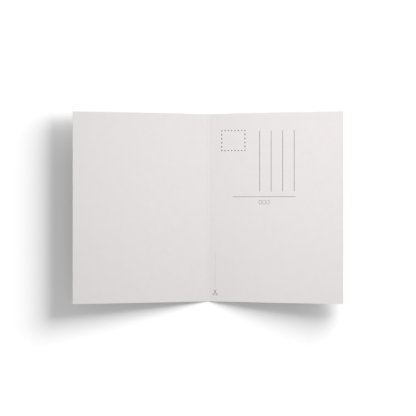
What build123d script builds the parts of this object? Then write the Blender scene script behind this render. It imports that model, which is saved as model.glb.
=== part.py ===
from build123d import *
import math
import os

# A greeting card: one sheet of uncoated card, scored across its middle, folded once and opened again.
# It lies on the back of its fold with both leaves rising outwards, each held by the fold at its root and
# sagging a little towards its free edge.
#
# Millimetres. The origin is on the surface under the middle of the fold. +X runs across the fold to the
# right leaf, +Y runs along the fold to the card's top edge, and +Z points up.

# The sheet
leaf_width = 105.0  # along the card, from the middle of the fold to a free edge
leaf_height = 148.0  # along the fold
card_thickness = 0.4

# How the leaves lie, as slopes in degrees
root_slope = 10.2  # beside the fold
free_edge_slope = 6.2  # at the free edge, less than the root's because the leaf sags

# The scored fold: a groove pressed into the outside stands up as a bead on the inside
groove_width = 1.4  # between the two lands that the card rests on
groove_depth = 0.05  # also the height of the bead
land_width = 0.3  # flat strip on each side of the groove, where the fold touches the surface
root_bend_radius = 2.0  # on the outside, where a leaf turns up from its land

# Two equal arcs, one turning down and one turning back level, join the groove's crown to a land.
groove_turn = 2 * math.degrees(math.atan(2 * groove_depth / groove_width))
groove_radius = groove_width / (4 * math.sin(math.radians(groove_turn)))

# What is left of the leaf beyond the fold is one shallow arc.
root_bend_length = root_bend_radius * math.radians(root_slope)
leaf_length = leaf_width - groove_width / 2 - land_width - root_bend_length
leaf_radius = leaf_length / math.radians(root_slope - free_edge_slope)


def half_section_line(above):
    """Draw one face of the right half, 'above' the outside face, and return its free end."""
    crown = JernArc((0, groove_depth + above), (1, 0), groove_radius + above, -groove_turn)
    shoulder = JernArc(crown @ 1, crown % 1, groove_radius - above, groove_turn)
    land = Line(shoulder @ 1, shoulder @ 1 + Vector(land_width, 0))
    root_bend = JernArc(land @ 1, land % 1, root_bend_radius - above, root_slope)
    leaf = JernArc(root_bend @ 1, root_bend % 1, leaf_radius + above, free_edge_slope - root_slope)
    return leaf @ 1


with BuildPart() as folded_card:
    with BuildSketch(Plane.XZ):
        with BuildLine():
            outside_end = half_section_line(above=0)
            inside_end = half_section_line(above=card_thickness)
            Line(outside_end, inside_end)
            mirror(about=Plane.YZ)
        make_face()
    extrude(amount=leaf_height / 2, both=True)

folded_card.part.label = "folded_card"

os.makedirs("parts", exist_ok=True)
export_step(folded_card.part, "parts/folded_card.step")
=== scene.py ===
import math

import bmesh
import bpy
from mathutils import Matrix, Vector


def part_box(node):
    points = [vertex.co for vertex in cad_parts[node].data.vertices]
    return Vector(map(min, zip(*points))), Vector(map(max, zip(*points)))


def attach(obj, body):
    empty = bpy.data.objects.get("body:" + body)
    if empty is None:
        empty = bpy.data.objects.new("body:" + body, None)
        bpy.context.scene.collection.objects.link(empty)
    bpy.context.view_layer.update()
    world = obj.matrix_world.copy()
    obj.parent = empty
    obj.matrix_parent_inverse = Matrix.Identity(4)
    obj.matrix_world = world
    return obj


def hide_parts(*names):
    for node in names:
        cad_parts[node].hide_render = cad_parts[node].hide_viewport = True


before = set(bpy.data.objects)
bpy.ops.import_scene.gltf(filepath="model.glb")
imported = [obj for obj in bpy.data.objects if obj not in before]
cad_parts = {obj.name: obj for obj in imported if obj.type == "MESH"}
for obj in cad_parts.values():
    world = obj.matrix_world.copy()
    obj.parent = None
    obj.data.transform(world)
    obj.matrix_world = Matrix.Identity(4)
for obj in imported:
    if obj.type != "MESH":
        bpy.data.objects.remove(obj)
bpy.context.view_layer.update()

# A greeting card lying open on the back of its fold, on a white studio surface, seen from straight above.
# Metres. X runs across the fold, Y runs up along it and Z is up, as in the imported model.

MM = 0.001
CARD_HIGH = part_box("folded_card")[1]

# ---------------------------------------------------------------------------------------------------------
# The sheet, in section: the same arcs as the CAD solid's
# ---------------------------------------------------------------------------------------------------------

LEAF_WIDTH = 105.0 * MM
HALF_HEIGHT = CARD_HIGH.y
CARD_THICKNESS = 0.4 * MM
ROOT_SLOPE = math.radians(10.2)
FREE_EDGE_SLOPE = math.radians(6.2)
GROOVE_WIDTH = 1.4 * MM
GROOVE_DEPTH = 0.05 * MM
LAND_WIDTH = 0.3 * MM
ROOT_BEND_RADIUS = 2.0 * MM

GROOVE_TURN = 2 * math.atan(2 * GROOVE_DEPTH / GROOVE_WIDTH)
GROOVE_RADIUS = GROOVE_WIDTH / (4 * math.sin(GROOVE_TURN))
GROOVE_ARC = GROOVE_RADIUS * GROOVE_TURN
ROOT_BEND_ARC = ROOT_BEND_RADIUS * ROOT_SLOPE
LEAF_ARC = LEAF_WIDTH - GROOVE_WIDTH / 2 - LAND_WIDTH - ROOT_BEND_ARC

# The outside of a half, from the middle of the fold: how long each run is, how far it turns, and how many
# columns of faces it gets.
RUNS = (
    (GROOVE_ARC, -GROOVE_TURN, 6),
    (GROOVE_ARC, GROOVE_TURN, 6),
    (LAND_WIDTH, 0.0, 2),
    (ROOT_BEND_ARC, ROOT_SLOPE, 4),
    (LEAF_ARC, FREE_EDGE_SLOPE - ROOT_SLOPE, 96),
)
ROWS = 120

WARP = 0.05 * MM  # how far a leaf strays from its plain arc
WARP_WAVES = (  # each wave's share, and its lengths along and across the card
    (1.0, 21.0 * MM, 37.0 * MM),
    (0.6, 12.5 * MM, -29.0 * MM),
)
ARRIS = 0.04 * MM  # how far the blade's cut rounds each edge


def marks(low, high, count):
    """The places that divide a run into that many equal parts, with both its ends."""
    return [low + (high - low) * i / count for i in range(count + 1)]


def warp(across, along):
    """A slow unevenness that dies away towards the fold, as stock that has taken up a little moisture has."""
    reach = min(1.0, abs(across) / LEAF_WIDTH) ** 1.5
    waves = sum(share * math.sin(along / v + across / u) for share, v, u in WARP_WAVES)
    return WARP * reach * waves


def on_card(across, along, above):
    """The point 'across' and 'along' the flat sheet from the middle of its fold, 'above' its outside face."""
    side = math.copysign(1.0, across)
    x, z, slope, left = 0.0, GROOVE_DEPTH, 0.0, abs(across)
    for length, turn, _ in RUNS:
        walked = min(left, length)
        turned = turn * walked / length
        chord = walked * math.sin(turned / 2) / (turned / 2) if turned else walked
        x += chord * math.cos(slope + turned / 2)
        z += chord * math.sin(slope + turned / 2)
        slope += turned
        left -= walked
    lifted = z + above * math.cos(slope) + warp(across, along)
    return Vector((side * (x - above * math.sin(slope)), along, lifted))


def sheet_columns():
    """Where the sheet's columns of faces meet, across the flat sheet, from its left edge to its right."""
    right = [0.0]
    for length, _, count in RUNS:
        right += marks(right[-1], right[-1] + length, count)[1:]
    return [-c for c in reversed(right[1:])] + right


# ---------------------------------------------------------------------------------------------------------
# Node helpers
# ---------------------------------------------------------------------------------------------------------

def new_material(name):
    """A node material with its Principled shader: (material, node tree, shader)."""
    material = bpy.data.materials.new(name)
    material.use_nodes = True
    tree = material.node_tree
    return material, tree, tree.nodes["Principled BSDF"]


def add_node(tree, kind, **sockets):
    """A node of that kind, with its inputs set to values or linked to other nodes' sockets."""
    node = tree.nodes.new(kind)
    for name, value in sockets.items():
        socket = node.inputs[name.replace("_", " ")]
        if isinstance(value, bpy.types.NodeSocket):
            tree.links.new(value, socket)
        else:
            socket.default_value = value
    return node


def object_place(tree):
    """The place on the piece, for textures that stay with it."""
    return tree.nodes.new("ShaderNodeTexCoord").outputs["Object"]


def noise(tree, place, scale, detail, roughness=0.5):
    """Noise of that scale, in features per metre."""
    return add_node(
        tree, "ShaderNodeTexNoise", Vector=place, Scale=scale, Detail=detail, Roughness=roughness
    ).outputs["Fac"]


def ramp(tree, factor, low, high):
    """A blend from one colour to another, each with the factor where it is full."""
    node = add_node(tree, "ShaderNodeValToRGB", Fac=factor)
    for element, (position, colour) in zip(node.color_ramp.elements, (low, high)):
        element.position = position
        element.color = (*colour, 1.0)
    return node.outputs["Color"]


def mapped(tree, place, turn, scale):
    """Coordinates turned in the sheet's plane, in degrees, and scaled, for grain that runs one way."""
    node = add_node(tree, "ShaderNodeMapping", Vector=place)
    node.inputs["Rotation"].default_value = (0, 0, math.radians(turn))
    node.inputs["Scale"].default_value = scale
    return node.outputs["Vector"]


def product(tree, first, second):
    """Two sockets multiplied."""
    node = tree.nodes.new("ShaderNodeMath")
    node.operation = "MULTIPLY"
    tree.links.new(first, node.inputs[0])
    tree.links.new(second, node.inputs[1])
    return node.outputs["Value"]


def relieve(tree, shader, height, strength, depth):
    """Give a shader fine relief."""
    bump = add_node(tree, "ShaderNodeBump", Height=height, Strength=strength, Distance=depth)
    tree.links.new(bump.outputs["Normal"], shader.inputs["Normal"])


def set_gloss(shader, roughness, specular):
    """How rough a shader is, and how strongly it reflects."""
    shader.inputs["Roughness"].default_value = roughness
    shader.inputs["Specular IOR Level"].default_value = specular


# ---------------------------------------------------------------------------------------------------------
# Materials. Noise scales are in features per metre.
# ---------------------------------------------------------------------------------------------------------

CARD_PALE = (0.789, 0.757, 0.752)
CARD_DEEP = (0.770, 0.739, 0.734)
CLOUD_SCALE = 170.0
FLECK_PALE = (1.0, 1.0, 1.0)
FLECK_DEEP = (0.955, 0.952, 0.948)
FLECK_SCALE = 2400.0
FIBRES = (  # each layer's turn in degrees, squeeze across its fibres, and scale
    (24.0, 0.22, 2600.0),
    (-52.0, 0.28, 2100.0),
)
TOOTH_STRENGTH, TOOTH_DEPTH = 0.6, 0.04 * MM

EDGE_PALE = (0.80, 0.77, 0.76)
EDGE_DEEP = (0.66, 0.63, 0.615)
LAYER_SCALE = 9000.0
LAYER_STRETCH = (0.08, 0.08, 1.0)
LAYER_STRENGTH, LAYER_DEPTH = 0.5, 0.02 * MM

INK_PALE = (0.098, 0.081, 0.076)
INK_DEEP = (0.056, 0.045, 0.042)
FAINT_INK_PALE = (0.36, 0.345, 0.34)
FAINT_INK_DEEP = (0.29, 0.28, 0.275)
UPTAKE_SCALE = 5200.0


def card_stock_material():
    """Uncoated card: a cloudy warm white with fine matted fibres in its surface."""
    material, tree, shader = new_material("card_stock")
    place = object_place(tree)
    clouds = noise(tree, place, CLOUD_SCALE, 3.0, 0.55)
    cloudy = ramp(tree, clouds, (0.25, CARD_DEEP), (0.75, CARD_PALE))
    grain = noise(tree, place, FLECK_SCALE, 4.0, 0.65)
    flecks = ramp(tree, grain, (0.3, FLECK_DEEP), (0.7, FLECK_PALE))
    colour = add_node(tree, "ShaderNodeMixRGB", Fac=1.0, Color1=cloudy, Color2=flecks)
    colour.blend_type = "MULTIPLY"
    tree.links.new(colour.outputs["Color"], shader.inputs["Base Color"])
    layers = [
        noise(tree, mapped(tree, place, turn, (1.0, squeeze, 1.0)), scale, 2.0)
        for turn, squeeze, scale in FIBRES
    ]
    relieve(tree, shader, product(tree, *layers), TOOTH_STRENGTH, TOOTH_DEPTH)
    set_gloss(shader, 0.88, 0.3)
    return material


def card_edge_material():
    """The cut edge: the sheet's pressed layers as fine streaks along the cut."""
    material, tree, shader = new_material("card_cut_edge")
    streaks = noise(tree, mapped(tree, object_place(tree), 0.0, LAYER_STRETCH), LAYER_SCALE, 3.0, 0.6)
    colour = ramp(tree, streaks, (0.35, EDGE_DEEP), (0.65, EDGE_PALE))
    tree.links.new(colour, shader.inputs["Base Color"])
    relieve(tree, shader, streaks, LAYER_STRENGTH, LAYER_DEPTH)
    set_gloss(shader, 0.95, 0.2)
    return material


def ink_material(name, pale, deep):
    """Printing ink soaked into uncoated card: matt, and a little uneven where the fibres took it up."""
    material, tree, shader = new_material(name)
    uptake = noise(tree, object_place(tree), UPTAKE_SCALE, 3.0, 0.6)
    tree.links.new(ramp(tree, uptake, (0.35, deep), (0.7, pale)), shader.inputs["Base Color"])
    set_gloss(shader, 0.8, 0.3)
    return material


# ---------------------------------------------------------------------------------------------------------
# The sheet
# ---------------------------------------------------------------------------------------------------------

def quilt(bm, rows, flip=False):
    """Quads between the rows of vertices."""
    for low, high in zip(rows, rows[1:]):
        for i in range(len(low) - 1):
            corners = [low[i], low[i + 1], high[i + 1], high[i]]
            bm.faces.new(corners[::-1] if flip else corners)


def finish_mesh(name, bm, *materials):
    """Turn a bmesh into an object of the scene with its materials."""
    mesh = bpy.data.meshes.new(name)
    bm.to_mesh(mesh)
    bm.free()
    for material in materials:
        mesh.materials.append(material)
    piece = bpy.data.objects.new(name, mesh)
    bpy.context.scene.collection.objects.link(piece)
    return piece


def face_points(bm, columns, above):
    """The vertices of one face of the sheet, as a list of rows."""
    return [
        [bm.verts.new(on_card(across, along, above)) for across in columns]
        for along in marks(-HALF_HEIGHT, HALF_HEIGHT, ROWS)
    ]


def make_sheet():
    """The whole card as one closed mesh, with the cut edge in its own material."""
    bm = bmesh.new()
    columns = sheet_columns()
    outside = face_points(bm, columns, 0.0)
    inside = face_points(bm, columns, CARD_THICKNESS)
    quilt(bm, inside)
    quilt(bm, outside, flip=True)
    surface_count = len(bm.faces)
    for lower, upper in (
        (outside[0], inside[0]),
        (outside[-1][::-1], inside[-1][::-1]),
        ([row[-1] for row in outside], [row[-1] for row in inside]),
        ([row[0] for row in outside][::-1], [row[0] for row in inside][::-1]),
    ):
        quilt(bm, [lower, upper])
    for index, face in enumerate(bm.faces):
        face.smooth = True
        face.material_index = 1 if index >= surface_count else 0
    piece = finish_mesh("card_sheet", bm, card_stock_material(), card_edge_material())
    arris = piece.modifiers.new("arris", "BEVEL")
    arris.width = ARRIS
    arris.segments = 2
    arris.limit_method = "ANGLE"
    arris.angle_limit = math.radians(60)
    arris.harden_normals = True
    return piece


# ---------------------------------------------------------------------------------------------------------
# The print: thin ink on the inside of the right leaf. Places are on the flat sheet, (across, along) from
# the middle of the fold, in millimetres until they are laid on the card.
# ---------------------------------------------------------------------------------------------------------

INK_RISE = 0.012 * MM  # over the card's face
INK_SINK = 0.02 * MM  # soaked into it
STEP = 2.0  # longest side of a face, so that the ink follows the sheet
SQUARE = ((-1, -1), (1, -1), (1, 1), (-1, 1))


def cuts(low, high):
    """Evenly spaced places from one to the other, no more than a step apart."""
    return marks(low, high, max(1, math.ceil((high - low) / STEP)))


def bar(bm, centre, size):
    """A rectangle about its centre, in short faces."""
    columns, rows = [cuts(c - s / 2, c + s / 2) for c, s in zip(centre, size)]
    quilt(bm, [[bm.verts.new((u, v, 0)) for u in columns] for v in rows])


def ruled_line(bm, column, bottom, top, weight):
    """A line that runs along the fold."""
    bar(bm, (column, (bottom + top) / 2), (weight, top - bottom))


def outline(bm, points):
    """One flat face with those corners, counter-clockwise."""
    bm.faces.new([bm.verts.new((u, v, 0)) for u, v in points])


def band(bm, outer, inner):
    """The flat band between two closed outlines with as many points each, counter-clockwise."""
    around = [bm.verts.new((u, v, 0)) for u, v in outer]
    within = [bm.verts.new((u, v, 0)) for u, v in inner]
    for i in range(len(around)):
        j = (i + 1) % len(around)
        bm.faces.new([around[i], around[j], within[j], within[i]])


def rectangle(centre, half):
    """The corners of a rectangle, counter-clockwise."""
    return [(centre[0] + a * half[0], centre[1] + b * half[1]) for a, b in SQUARE]


def lay_on_card(name, bm, material, rise=INK_RISE):
    """Lay flat faces on the right leaf's inside face, and give them the thickness of ink."""
    flat = list(bm.faces)
    rim = [
        (loop.vert, loop.link_loop_next.vert)
        for face in flat for loop in face.loops if loop.edge.is_boundary
    ]
    top = {}
    for vertex in list(bm.verts):
        across, along = vertex.co.x * MM, vertex.co.y * MM
        top[vertex] = bm.verts.new(on_card(across, along, CARD_THICKNESS + rise))
        vertex.co = on_card(across, along, CARD_THICKNESS - INK_SINK)
    for face in flat:
        bm.faces.new([top[vertex] for vertex in face.verts])
    for start, end in rim:
        bm.faces.new([start, end, top[end], top[start]])
    bmesh.ops.reverse_faces(bm, faces=flat)
    piece = finish_mesh(name, bm, material)
    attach(piece, "root")
    return piece


STAMP_LOW, STAMP_HIGH = (11.1, 44.95), (29.4, 60.65)
STAMP_WEIGHT = 0.7
STAMP_DASHES = (7, 5)  # pitches along the box's width and height
STAMP_DASH = (0.9, 1.2)  # length of a dash along the width and the height


def print_stamp_box(ink):
    """A dashed box for the stamp, with a small angle at each corner."""
    bm = bmesh.new()
    for row in (STAMP_LOW[1], STAMP_HIGH[1]):
        for middle in marks(STAMP_LOW[0], STAMP_HIGH[0], STAMP_DASHES[0])[1:-1]:
            bar(bm, (middle, row), (STAMP_DASH[0], STAMP_WEIGHT))
    for column in (STAMP_LOW[0], STAMP_HIGH[0]):
        for middle in marks(STAMP_LOW[1], STAMP_HIGH[1], STAMP_DASHES[1])[1:-1]:
            bar(bm, (column, middle), (STAMP_WEIGHT, STAMP_DASH[1]))
    for column, inward in ((STAMP_LOW[0], 1), (STAMP_HIGH[0], -1)):
        for row, up in ((STAMP_LOW[1], 1), (STAMP_HIGH[1], -1)):
            corner_angle(bm, (column, row), inward, up)
    return lay_on_card("print_stamp_box", bm, ink)


def corner_angle(bm, corner, inward, up):
    """An L of two half dashes, turned into the box."""
    half = STAMP_WEIGHT / 2
    arm_u, arm_v = STAMP_DASH[0] / 2, STAMP_DASH[1] / 2
    points = [(-half, -half), (arm_u, -half), (arm_u, half), (half, half), (half, arm_v), (-half, arm_v)]
    placed = [(corner[0] + inward * u, corner[1] + up * v) for u, v in points]
    outline(bm, placed if inward * up > 0 else placed[::-1])


ADDRESS_FIRST, ADDRESS_PITCH, ADDRESS_COUNT = 40.95, 8.9, 4
ADDRESS_BOTTOM, ADDRESS_TOP = 12.65, 60.1
ADDRESS_WEIGHT = 0.31


def print_address_lines(ink):
    """The ruled lines for an address, running along the fold."""
    bm = bmesh.new()
    for i in range(ADDRESS_COUNT):
        ruled_line(bm, ADDRESS_FIRST + ADDRESS_PITCH * i, ADDRESS_BOTTOM, ADDRESS_TOP, ADDRESS_WEIGHT)
    return lay_on_card("print_address_lines", bm, ink)


DIVIDER_LEFT, DIVIDER_RIGHT, DIVIDER_ROW = 19.7, 68.6, 8.6
DIVIDER_WEIGHT = 0.275


def print_divider_line(ink):
    """The ruled line across the leaf, under the address."""
    bm = bmesh.new()
    middle = (DIVIDER_LEFT + DIVIDER_RIGHT) / 2
    bar(bm, (middle, DIVIDER_ROW), (DIVIDER_RIGHT - DIVIDER_LEFT, DIVIDER_WEIGHT))
    return lay_on_card("print_divider_line", bm, ink)


BOX_FIRST, BOX_PITCH, BOX_COUNT, BOX_ROW = 41.4, 3.0, 3, 4.3
BOX_HALF = (1.1, 1.45)
BOX_WEIGHT = 0.18


def print_postcode_boxes(ink):
    """A row of small empty boxes for a code."""
    bm = bmesh.new()
    inner_half = [h - BOX_WEIGHT for h in BOX_HALF]
    for i in range(BOX_COUNT):
        centre = (BOX_FIRST + BOX_PITCH * i, BOX_ROW)
        band(bm, rectangle(centre, BOX_HALF), rectangle(centre, inner_half))
    return lay_on_card("print_postcode_boxes", bm, ink)


# The scissors' sizes are for the right half, from the pivot.
SCISSORS_PIVOT = (5.75, -66.4)
BLADE_TIP = (1.3, 2.6)
BLADE_HEEL = (-0.92, -1.42)
BLADE_WIDTH = 0.44
BLADE_BELLY = 0.62  # the widest place, as a share of the way from heel to tip
BLADE_BACK, HEEL_SHARE = 0.35, 0.7  # shares of the half width: behind the belly, and at the heel
HANDLE_MIDDLE = (-1.25, -1.95)
HANDLE_RADIUS, HANDLE_WEIGHT, HANDLE_STEPS = 0.72, 0.22, 28
UPPER_HALF_RISE = 1.4 * INK_RISE  # the left half is over the right one where they cross


def blade_outline():
    """A blade from heel to tip, straight along its back and full along its edge."""
    heel, tip = Vector(BLADE_HEEL), Vector(BLADE_TIP)
    along = tip - heel
    over = Vector((-along.y, along.x)).normalized() * BLADE_WIDTH / 2
    belly = heel.lerp(tip, BLADE_BELLY)
    return [heel - over * HEEL_SHARE, belly - over, tip, belly + over * BLADE_BACK, heel + over * HEEL_SHARE]


def finger_ring(radius):
    """A circle round the middle of a finger ring."""
    turns = [2 * math.pi * i / HANDLE_STEPS for i in range(HANDLE_STEPS)]
    return [(HANDLE_MIDDLE[0] + radius * math.cos(t), HANDLE_MIDDLE[1] + radius * math.sin(t)) for t in turns]


def on_side(points, side):
    """The right half's points put on the sheet, or mirrored for the left half, still counter-clockwise."""
    placed = [(SCISSORS_PIVOT[0] + side * u, SCISSORS_PIVOT[1] + v) for u, v in points]
    return placed if side > 0 else placed[::-1]


def print_scissors(ink):
    """A pair of scissors that shows where to cut: two halves, each a blade and a finger ring, crossed."""
    halves = []
    for side, name, rise in (
        (1, "print_scissors_right_blade", INK_RISE),
        (-1, "print_scissors_left_blade", UPPER_HALF_RISE),
    ):
        bm = bmesh.new()
        outline(bm, on_side(blade_outline(), side))
        rings = [on_side(finger_ring(r), side) for r in (HANDLE_RADIUS, HANDLE_RADIUS - HANDLE_WEIGHT)]
        band(bm, *rings)
        halves.append(lay_on_card(name, bm, ink, rise))
    return halves


CUT_COLUMN, CUT_BOTTOM, CUT_TOP, CUT_WEIGHT = 5.85, -63.0, -35.0, 0.11


def print_cut_line(ink):
    """A faint hairline beside the fold, from the scissors upwards."""
    bm = bmesh.new()
    ruled_line(bm, CUT_COLUMN, CUT_BOTTOM, CUT_TOP, CUT_WEIGHT)
    return lay_on_card("print_cut_line", bm, ink)


# ---------------------------------------------------------------------------------------------------------
# Camera, floor and lights
# ---------------------------------------------------------------------------------------------------------

CAMERA_PLACE = (0.0, -0.2 * MM, 499.2 * MM)
SENSOR, LENS = 36.0, 54.57
FLOOR_HALF, FLOOR_DROP = 3.0, 0.02 * MM
FLOOR_WHITE = (0.935, 0.935, 0.935, 1)
WALL_RADIUS, WALL_HEIGHT, WALL_SINK = 2.9, 4.0, 1.0 * MM
KEY_LAMPS = (  # name, place, radius and power
    ("key", (0.150, 0.108, 0.132), 0.078, 169.3),
    ("high_key", (0.220, 0.316, 0.157), 0.090, 22.7),
)
SOFTBOX_PLACE, SOFTBOX_SIDE, SOFTBOX_POWER = (0.09, 0.11, 0.38), 0.3, 1.04
SKY_STRENGTH = 0.505


def make_camera():
    """Looking straight down at the middle of the fold, with +Y up in the picture."""
    data = bpy.data.cameras.new("camera")
    data.sensor_width = SENSOR
    data.lens = LENS
    data.clip_start = 0.01
    camera = bpy.data.objects.new("camera", data)
    camera.location = CAMERA_PLACE
    bpy.context.scene.collection.objects.link(camera)
    bpy.context.scene.camera = camera


def make_floor():
    """A wide white surface under the card."""
    bm = bmesh.new()
    outline(bm, rectangle((0, 0), (FLOOR_HALF, FLOOR_HALF)))
    material, _, shader = new_material("studio_white")
    shader.inputs["Base Color"].default_value = FLOOR_WHITE
    set_gloss(shader, 0.9, 0.1)
    piece = finish_mesh("studio_floor", bm, material)
    piece.location.z = -FLOOR_DROP
    return piece


def make_backdrop():
    """A white wall round the floor. Only the camera sees it, so it doesn't light the card."""
    bm = bmesh.new()
    bmesh.ops.create_cone(
        bm, cap_ends=False, segments=96, radius1=WALL_RADIUS, radius2=WALL_RADIUS, depth=WALL_HEIGHT
    )
    material = bpy.data.materials.new("studio_wall")
    material.use_nodes = True
    tree = material.node_tree
    tree.nodes.clear()
    glow = add_node(tree, "ShaderNodeEmission", Strength=1.0)
    output = tree.nodes.new("ShaderNodeOutputMaterial")
    tree.links.new(glow.outputs["Emission"], output.inputs["Surface"])
    wall = finish_mesh("studio_wall", bm, material)
    wall.location.z = WALL_HEIGHT / 2 - WALL_SINK
    wall.visible_diffuse = wall.visible_glossy = wall.visible_transmission = wall.visible_shadow = False


def place_light(data, place, pieces):
    """Put a light in the scene that reaches those pieces alone. Every other piece still casts its shadow."""
    light = bpy.data.objects.new(data.name, data)
    light.location = place
    light.visible_camera = False
    bpy.context.scene.collection.objects.link(light)
    receivers = bpy.data.collections.new(data.name + "_receivers")
    for piece in pieces:
        receivers.objects.link(piece)
    light.light_linking.receiver_collection = receivers
    return light


def make_key(pieces, name, place, radius, power):
    """A round lamp at the upper right that draws the card's shadow. Its strength grows with the cube of the
    distance, which cancels both its fading and its slant on the floor, so all the floor is equally white."""
    data = bpy.data.lights.new(name, "POINT")
    data.shadow_soft_size = radius
    data.energy = power
    data.use_nodes = True
    tree = data.node_tree
    falloff = add_node(tree, "ShaderNodeLightFalloff", Strength=1.0)
    cubed = product(tree, falloff.outputs["Linear"], falloff.outputs["Constant"])
    tree.links.new(cubed, tree.nodes["Emission"].inputs["Strength"])
    place_light(data, place, pieces)


def make_card_light(pieces):
    """A wide softbox over the card's upper right, aimed at the fold, which brightens that corner a little."""
    data = bpy.data.lights.new("card_light", "AREA")
    data.shape = "SQUARE"
    data.size = SOFTBOX_SIDE
    data.energy = SOFTBOX_POWER
    light = place_light(data, SOFTBOX_PLACE, pieces)
    light.rotation_mode = "QUATERNION"
    light.rotation_quaternion = light.location.to_track_quat("Z", "Y")


def make_sky():
    """Even light from all round, as from white studio walls."""
    world = bpy.data.worlds.new("studio")
    world.use_nodes = True
    background = world.node_tree.nodes["Background"]
    background.inputs["Color"].default_value = (1, 1, 1, 1)
    background.inputs["Strength"].default_value = SKY_STRENGTH
    bpy.context.scene.world = world


# ---------------------------------------------------------------------------------------------------------
# The scene
# ---------------------------------------------------------------------------------------------------------

make_camera()

sheet = make_sheet()
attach(sheet, "root")
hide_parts("folded_card")

ink = ink_material("printed_ink", INK_PALE, INK_DEEP)
faint_ink = ink_material("printed_faint_ink", FAINT_INK_PALE, FAINT_INK_DEEP)
prints = [
    print_stamp_box(ink),
    print_address_lines(ink),
    print_divider_line(ink),
    print_postcode_boxes(ink),
    *print_scissors(ink),
    print_cut_line(faint_ink),
]

floor = make_floor()
make_backdrop()
for lamp in KEY_LAMPS:
    make_key([floor], *lamp)
make_card_light([sheet, *prints])
make_sky()
bpy.context.scene.view_settings.view_transform = "Standard"
